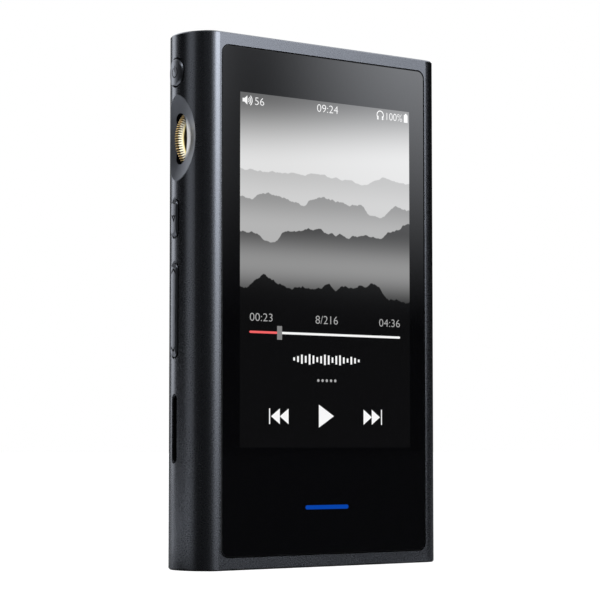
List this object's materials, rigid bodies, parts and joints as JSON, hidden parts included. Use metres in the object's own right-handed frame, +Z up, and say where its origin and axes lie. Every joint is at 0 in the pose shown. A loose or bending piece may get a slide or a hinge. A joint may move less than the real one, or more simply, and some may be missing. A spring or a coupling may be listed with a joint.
{
  "type": "digital audio player",
  "caption": "Slim pocket audio player with rounded metal sides, a full glass front, side buttons, a track rocker and a knurled volume wheel in a dished thumb recess.",
  "frame": {"origin": "on the supporting surface, under the middle of the upright player", "axes": "+Z up along the player, the display faces -Y, the row of controls is on -X"},
  "size_m": [0.0703, 0.0154, 0.116],
  "materials": {
    "frame_metal": "bead-blasted, anodised dark grey",
    "button_metal": "bead-blasted, anodised dark grey",
    "front_glass": "black printed cover glass, polished",
    "window_plastic": "fine matte, dark grey",
    "wheel_brass": "turned, knurled rim",
    "screw_steel": "plain steel",
    "sheet_steel": "tinned sheet steel",
    "cast_alloy": "cast, plain",
    "display_glass": "display panel",
    "black_adhesive": "soft adhesive",
    "clear_adhesive": "soft adhesive",
    "flex_film": "flexible printed circuit",
    "connector_plastic": "moulded",
    "switch_plastic": "moulded",
    "black_plastic": "moulded",
    "circuit_board": "solder mask",
    "chip_resin": "moulded resin",
    "capacitor_can": "drawn can",
    "gold_contact": "gold-plated",
    "battery_pouch": "laminated foil pouch",
    "lead_plastic": "insulated leads"
  },
  "bodies": {
    "player": {"housing": "frame_metal", "front_glass": "front_glass", "glass_bond": "black_adhesive", "rear_cover": "frame_metal", "cover_bond": "black_adhesive", "radio_window": "window_plastic", "lcd_panel": "display_glass", "panel_bond": "clear_adhesive", "backlight_tray": "sheet_steel", "display_flex": "flex_film", "display_connector": "connector_plastic", "mid_frame": "cast_alloy", "mid_frame_screws": "screw_steel", "power_switch": "switch_plastic", "power_board": "circuit_board", "power_bracket": "sheet_steel", "wheel_cage": "cast_alloy", "cage_screws": "screw_steel", "encoder_body": "black_plastic", "encoder_flex": "flex_film", "encoder_connector": "connector_plastic", "play_switch": "switch_plastic", "track_switches": "switch_plastic", "rocker_cradle": "black_plastic", "button_board": "circuit_board", "button_bracket": "sheet_steel", "bracket_screws": "screw_steel", "card_socket": "sheet_steel", "card_contacts": "gold_contact", "main_board": "circuit_board", "board_standoffs": "wheel_brass", "board_screws": "screw_steel", "processor": "chip_resin", "memory_chips": "chip_resin", "shield_can": "sheet_steel", "dac_chips": "chip_resin", "amplifier_chips": "chip_resin", "clock_crystals": "sheet_steel", "audio_capacitors": "capacitor_can", "power_coils": "chip_resin", "wireless_module": "sheet_steel", "headphone_jack": "black_plastic", "balanced_jack": "black_plastic", "jack_contacts": "gold_contact", "usb_shell": "sheet_steel", "usb_tongue": "black_plastic", "usb_contacts": "gold_contact", "battery_cell": "battery_pouch", "battery_tape": "clear_adhesive", "battery_board": "circuit_board", "battery_leads": "lead_plastic"},
    "power_key": {"power_button": "button_metal", "power_plunger": "switch_plastic"},
    "play_key": {"play_button": "button_metal", "play_plunger": "switch_plastic"},
    "rocker": {"track_rocker": "button_metal", "track_plungers": "switch_plastic", "rocker_pin": "screw_steel"},
    "wheel": {"volume_wheel": "wheel_brass", "wheel_axle": "screw_steel"}
  },
  "joints": [
    {"name": "power_press", "type": "slide", "parent": "player", "child": "power_key", "axis": [1, 0, 0], "range_m": [0, 0.0003], "stiffness_N_per_m": 2000},
    {"name": "play_press", "type": "slide", "parent": "player", "child": "play_key", "axis": [1, 0, 0], "range_m": [0, 0.0003], "stiffness_N_per_m": 2000},
    {"name": "track_tilt", "type": "hinge", "parent": "player", "child": "rocker", "pos_m": [-0.0313, 0.00115, 0.0558], "axis": [0, 1, 0], "range_deg": [-1.5, 1.5], "stiffness_Nm_per_rad": 0.3},
    {"name": "volume_turn", "type": "hinge", "parent": "player", "child": "wheel", "pos_m": [-0.02638, 0.00115, 0.0931], "axis": [0, 1, 0], "continuous": true}
  ]
}
